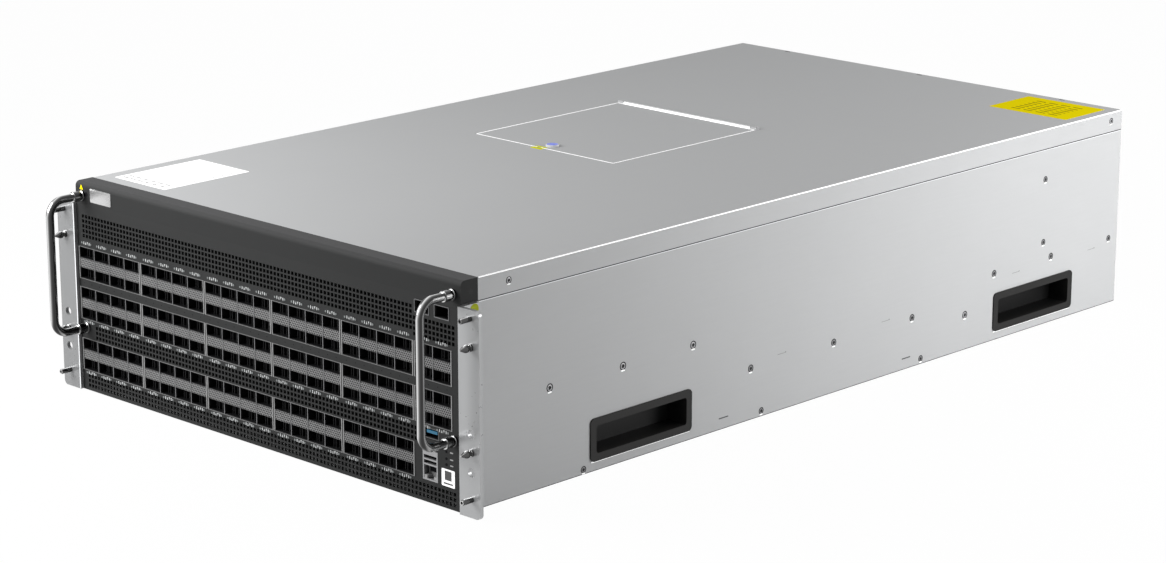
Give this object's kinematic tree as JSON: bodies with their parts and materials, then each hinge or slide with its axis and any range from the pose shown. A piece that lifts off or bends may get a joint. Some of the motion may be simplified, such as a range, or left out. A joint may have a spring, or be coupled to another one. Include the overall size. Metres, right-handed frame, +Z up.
{
  "type": "fixed port data centre switch",
  "caption": "Tall rack switch with stacked transceiver cages across the front, lift handles, a hinged access door on top and slide-out fans and power supplies behind.",
  "frame": {"origin": "middle of the body's underside", "axes": "+X to the right seen from the front, -Y out of the front, +Z up"},
  "size_m": [0.4826, 0.8527, 0.1746],
  "materials": {
    "chassis_steel": "zinc plated sheet, fine satin",
    "front_black": "black powder coat, satin",
    "dark_steel": "dark grey powder coat, satin",
    "polished_steel": "polished",
    "cage_metal": "nickel plated, satin",
    "dark_screw": "black zinc",
    "black_plastic": "moulded, matt",
    "board_green": "solder mask",
    "sink_aluminium": "bare, satin",
    "supply_grey": "plated case, satin",
    "latch_accent": "moulded, matt"
  },
  "bodies": {
    "chassis": {"base_pan": "chassis_steel", "bay_walls": "chassis_steel", "cage_decks": "cage_metal", "cage_dividers": "cage_metal", "card_bracket": "chassis_steel", "chip_heat_sink": "sink_aluminium", "clinch_studs": "polished_steel", "console_port": "cage_metal", "control_card": "board_green", "ear_guide_pins": "polished_steel", "ear_locating_studs": "polished_steel", "fan_boards": "board_green", "front_hood": "dark_steel", "front_panel": "front_black", "handle_ferrules": "polished_steel", "handle_left": "polished_steel", "handle_right": "polished_steel", "main_board": "board_green", "pocket_front_left": "black_plastic", "pocket_front_right": "black_plastic", "pocket_rear_left": "black_plastic", "pocket_rear_right": "black_plastic", "port_boards": "board_green", "port_connectors": "black_plastic", "power_board": "board_green", "rack_ear_left": "polished_steel", "rack_ear_right": "polished_steel", "rear_frame": "chassis_steel", "sfp_cages": "cage_metal", "side_screws": "dark_screw", "side_wall_left": "chassis_steel", "side_wall_right": "chassis_steel", "top_cover": "chassis_steel", "usb_port": "cage_metal"},
    "door": {"access_door": "chassis_steel"},
    "door_lock": {"door_fastener": "latch_accent"},
    "fan_module_outer_left": {"fan_housing_outer_left": "black_plastic"},
    "fan_lower_outer_left": {"fan_rotor_lower_outer_left": "black_plastic"},
    "fan_upper_outer_left": {"fan_rotor_upper_outer_left": "black_plastic"},
    "fan_release_outer_left": {"fan_latch_outer_left": "latch_accent"},
    "fan_module_inner_left": {"fan_housing_inner_left": "black_plastic"},
    "fan_lower_inner_left": {"fan_rotor_lower_inner_left": "black_plastic"},
    "fan_upper_inner_left": {"fan_rotor_upper_inner_left": "black_plastic"},
    "fan_release_inner_left": {"fan_latch_inner_left": "latch_accent"},
    "fan_module_inner_right": {"fan_housing_inner_right": "black_plastic"},
    "fan_lower_inner_right": {"fan_rotor_lower_inner_right": "black_plastic"},
    "fan_upper_inner_right": {"fan_rotor_upper_inner_right": "black_plastic"},
    "fan_release_inner_right": {"fan_latch_inner_right": "latch_accent"},
    "fan_module_outer_right": {"fan_housing_outer_right": "black_plastic"},
    "fan_lower_outer_right": {"fan_rotor_lower_outer_right": "black_plastic"},
    "fan_upper_outer_right": {"fan_rotor_upper_outer_right": "black_plastic"},
    "fan_release_outer_right": {"fan_latch_outer_right": "latch_accent"},
    "power_supply_1": {"psu_case_1": "supply_grey"},
    "power_release_1": {"psu_latch_1": "latch_accent"},
    "power_supply_2": {"psu_case_2": "supply_grey"},
    "power_release_2": {"psu_latch_2": "latch_accent"},
    "power_supply_3": {"psu_case_3": "supply_grey"},
    "power_release_3": {"psu_latch_3": "latch_accent"},
    "power_supply_4": {"psu_case_4": "supply_grey"},
    "power_release_4": {"psu_latch_4": "latch_accent"}
  },
  "joints": [
    {"name": "door_hinge", "type": "hinge", "parent": "chassis", "child": "door", "pos_m": [0, 0.1171, 0.1723], "axis": [-1, 0, 0], "range_deg": [0, 110]},
    {"name": "door_fastener_turn", "type": "hinge", "parent": "door", "child": "door_lock", "pos_m": [-0.035, -0.0482, 0.172], "axis": [0, 0, 1], "range_deg": [0, 90]},
    {"name": "fan_module_outer_left_slide", "type": "slide", "parent": "chassis", "child": "fan_module_outer_left", "axis": [0, 1, 0], "range_m": [0, 0.055]},
    {"name": "fan_lower_outer_left_spin", "type": "hinge", "parent": "fan_module_outer_left", "child": "fan_lower_outer_left", "pos_m": [-0.17272, 0.35, 0.04435], "axis": [0, 1, 0], "continuous": true},
    {"name": "fan_upper_outer_left_spin", "type": "hinge", "parent": "fan_module_outer_left", "child": "fan_upper_outer_left", "pos_m": [-0.17272, 0.35, 0.12735], "axis": [0, 1, 0], "continuous": true},
    {"name": "fan_release_outer_left_tilt", "type": "hinge", "parent": "fan_module_outer_left", "child": "fan_release_outer_left", "pos_m": [-0.13972, 0.4037, 0.07285], "axis": [-1, 0, 0], "range_deg": [0, 25], "stiffness_Nm_per_rad": 0.05},
    {"name": "fan_module_inner_left_slide", "type": "slide", "parent": "chassis", "child": "fan_module_inner_left", "axis": [0, 1, 0], "range_m": [0, 0.055]},
    {"name": "fan_lower_inner_left_spin", "type": "hinge", "parent": "fan_module_inner_left", "child": "fan_lower_inner_left", "pos_m": [-0.08267, 0.35, 0.04435], "axis": [0, 1, 0], "continuous": true},
    {"name": "fan_upper_inner_left_spin", "type": "hinge", "parent": "fan_module_inner_left", "child": "fan_upper_inner_left", "pos_m": [-0.08267, 0.35, 0.12735], "axis": [0, 1, 0], "continuous": true},
    {"name": "fan_release_inner_left_tilt", "type": "hinge", "parent": "fan_module_inner_left", "child": "fan_release_inner_left", "pos_m": [-0.04967, 0.4037, 0.07285], "axis": [-1, 0, 0], "range_deg": [0, 25], "stiffness_Nm_per_rad": 0.05},
    {"name": "fan_module_inner_right_slide", "type": "slide", "parent": "chassis", "child": "fan_module_inner_right", "axis": [0, 1, 0], "range_m": [0, 0.055]},
    {"name": "fan_lower_inner_right_spin", "type": "hinge", "parent": "fan_module_inner_right", "child": "fan_lower_inner_right", "pos_m": [0.08267, 0.35, 0.04435], "axis": [0, 1, 0], "continuous": true},
    {"name": "fan_upper_inner_right_spin", "type": "hinge", "parent": "fan_module_inner_right", "child": "fan_upper_inner_right", "pos_m": [0.08267, 0.35, 0.12735], "axis": [0, 1, 0], "continuous": true},
    {"name": "fan_release_inner_right_tilt", "type": "hinge", "parent": "fan_module_inner_right", "child": "fan_release_inner_right", "pos_m": [0.11568, 0.4037, 0.07285], "axis": [-1, 0, 0], "range_deg": [0, 25], "stiffness_Nm_per_rad": 0.05},
    {"name": "fan_module_outer_right_slide", "type": "slide", "parent": "chassis", "child": "fan_module_outer_right", "axis": [0, 1, 0], "range_m": [0, 0.055]},
    {"name": "fan_lower_outer_right_spin", "type": "hinge", "parent": "fan_module_outer_right", "child": "fan_lower_outer_right", "pos_m": [0.17272, 0.35, 0.04435], "axis": [0, 1, 0], "continuous": true},
    {"name": "fan_upper_outer_right_spin", "type": "hinge", "parent": "fan_module_outer_right", "child": "fan_upper_outer_right", "pos_m": [0.17272, 0.35, 0.12735], "axis": [0, 1, 0], "continuous": true},
    {"name": "fan_release_outer_right_tilt", "type": "hinge", "parent": "fan_module_outer_right", "child": "fan_release_outer_right", "pos_m": [0.20572, 0.4037, 0.07285], "axis": [-1, 0, 0], "range_deg": [0, 25], "stiffness_Nm_per_rad": 0.05},
    {"name": "power_supply_1_slide", "type": "slide", "parent": "chassis", "child": "power_supply_1", "axis": [0, 1, 0], "range_m": [0, 0.185]},
    {"name": "power_release_1_tilt", "type": "hinge", "parent": "power_supply_1", "child": "power_release_1", "pos_m": [0.029, 0.4037, 0.01204], "axis": [-1, 0, 0], "range_deg": [0, 25], "stiffness_Nm_per_rad": 0.05},
    {"name": "power_supply_2_slide", "type": "slide", "parent": "chassis", "child": "power_supply_2", "axis": [0, 1, 0], "range_m": [0, 0.185]},
    {"name": "power_release_2_tilt", "type": "hinge", "parent": "power_supply_2", "child": "power_release_2", "pos_m": [0.029, 0.4037, 0.05391], "axis": [-1, 0, 0], "range_deg": [0, 25], "stiffness_Nm_per_rad": 0.05},
    {"name": "power_supply_3_slide", "type": "slide", "parent": "chassis", "child": "power_supply_3", "axis": [0, 1, 0], "range_m": [0, 0.185]},
    {"name": "power_release_3_tilt", "type": "hinge", "parent": "power_supply_3", "child": "power_release_3", "pos_m": [0.029, 0.4037, 0.09579], "axis": [-1, 0, 0], "range_deg": [0, 25], "stiffness_Nm_per_rad": 0.05},
    {"name": "power_supply_4_slide", "type": "slide", "parent": "chassis", "child": "power_supply_4", "axis": [0, 1, 0], "range_m": [0, 0.185]},
    {"name": "power_release_4_tilt", "type": "hinge", "parent": "power_supply_4", "child": "power_release_4", "pos_m": [0.029, 0.4037, 0.13766], "axis": [-1, 0, 0], "range_deg": [0, 25], "stiffness_Nm_per_rad": 0.05}
  ]
}
